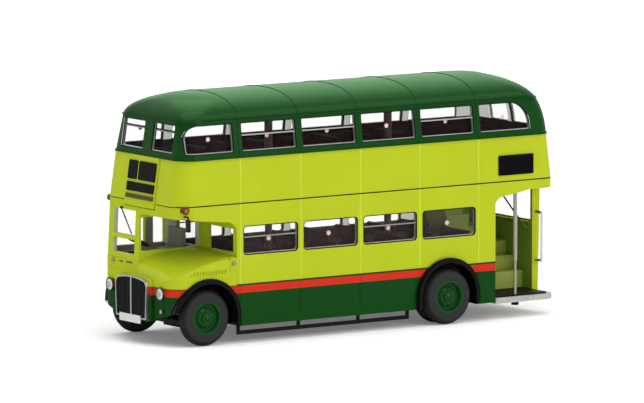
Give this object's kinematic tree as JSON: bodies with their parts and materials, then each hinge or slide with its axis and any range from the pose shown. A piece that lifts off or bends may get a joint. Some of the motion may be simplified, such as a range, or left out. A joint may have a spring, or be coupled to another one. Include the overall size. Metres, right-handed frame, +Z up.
{
  "type": "model double decker bus",
  "caption": "Die-cast model of a half-cab double-decker bus with an open rear platform, a hollow glazed body, seats on both decks and wheels that roll on their axles.",
  "frame": {"origin": "on the ground under the middle of the model's length and width", "axes": "+X towards the radiator, +Y towards the nearside with the platform entrance, +Z up"},
  "size_m": [0.1102, 0.0348, 0.0575],
  "materials": {
    "body_paint": "gloss",
    "seat_plastic": "matte",
    "clear_plastic": "clear",
    "base_plastic": "satin",
    "post_metal": "matte",
    "bright_trim": "satin",
    "stair_plastic": "satin",
    "lamp_lens": "polished",
    "red_lens": "gloss",
    "orange_plastic": "gloss",
    "white_plate": "satin",
    "blind_black": "gloss",
    "steel": "satin",
    "tyre": "matte",
    "wheel_paint": "gloss"
  },
  "bodies": {
    "body": {"base_plate": "base_plastic", "bonnet_and_wings_casting": "body_paint", "cab_glazing": "clear_plastic", "cab_seat_and_floor": "seat_plastic", "fixing_post_front": "post_metal", "fixing_post_rear": "post_metal", "fixing_screw_front": "steel", "fixing_screw_rear": "steel", "fog_lamp": "lamp_lens", "front_destination_blind": "blind_black", "front_mudguard_nearside": "base_plastic", "front_mudguard_offside": "base_plastic", "front_number_blind": "blind_black", "front_number_plate": "white_plate", "front_route_blind": "blind_black", "front_vent": "base_plastic", "guard_rail_nearside": "base_plastic", "guard_rail_offside": "base_plastic", "headlamp_nearside": "lamp_lens", "headlamp_offside": "lamp_lens", "indicator_nearside": "orange_plastic", "indicator_offside": "orange_plastic", "lower_body_casting": "body_paint", "lower_deck_glazing": "clear_plastic", "lower_saloon_seats": "seat_plastic", "mirror_nearside": "base_plastic", "platform_mat": "base_plastic", "platform_pole": "bright_trim", "platform_pole_rivet": "base_plastic", "radiator_grille": "base_plastic", "radiator_surround": "bright_trim", "rear_blind": "blind_black", "rear_grab_rail": "bright_trim", "rear_mudguard_nearside": "base_plastic", "rear_mudguard_offside": "base_plastic", "rear_number_plate": "white_plate", "rear_platform": "bright_trim", "rear_window_glass": "clear_plastic", "side_blind_nearside": "blind_black", "side_blind_offside": "blind_black", "side_lamp_nearside": "bright_trim", "side_lamp_offside": "bright_trim", "stair_handrail": "base_plastic", "staircase": "stair_plastic", "steering_wheel": "base_plastic", "tail_lamp": "red_lens", "upper_body_casting": "body_paint", "upper_deck_glazing": "clear_plastic", "upper_saloon_seats": "seat_plastic", "windscreen_wiper": "base_plastic"},
    "front_axle_set": {"front_axle": "steel", "front_tyre_nearside": "tyre", "front_tyre_offside": "tyre", "front_wheel_nearside": "wheel_paint", "front_wheel_offside": "wheel_paint"},
    "rear_axle_set": {"rear_axle": "steel", "rear_tyre_nearside": "tyre", "rear_tyre_offside": "tyre", "rear_wheel_nearside": "wheel_paint", "rear_wheel_offside": "wheel_paint"}
  },
  "joints": [
    {"name": "front_axle_roll", "type": "hinge", "parent": "body", "child": "front_axle_set", "pos_m": [0.0439, 0, 0.0066], "axis": [0, 1, 0], "continuous": true},
    {"name": "rear_axle_roll", "type": "hinge", "parent": "body", "child": "rear_axle_set", "pos_m": [-0.0234, 0, 0.0066], "axis": [0, 1, 0], "continuous": true}
  ]
}
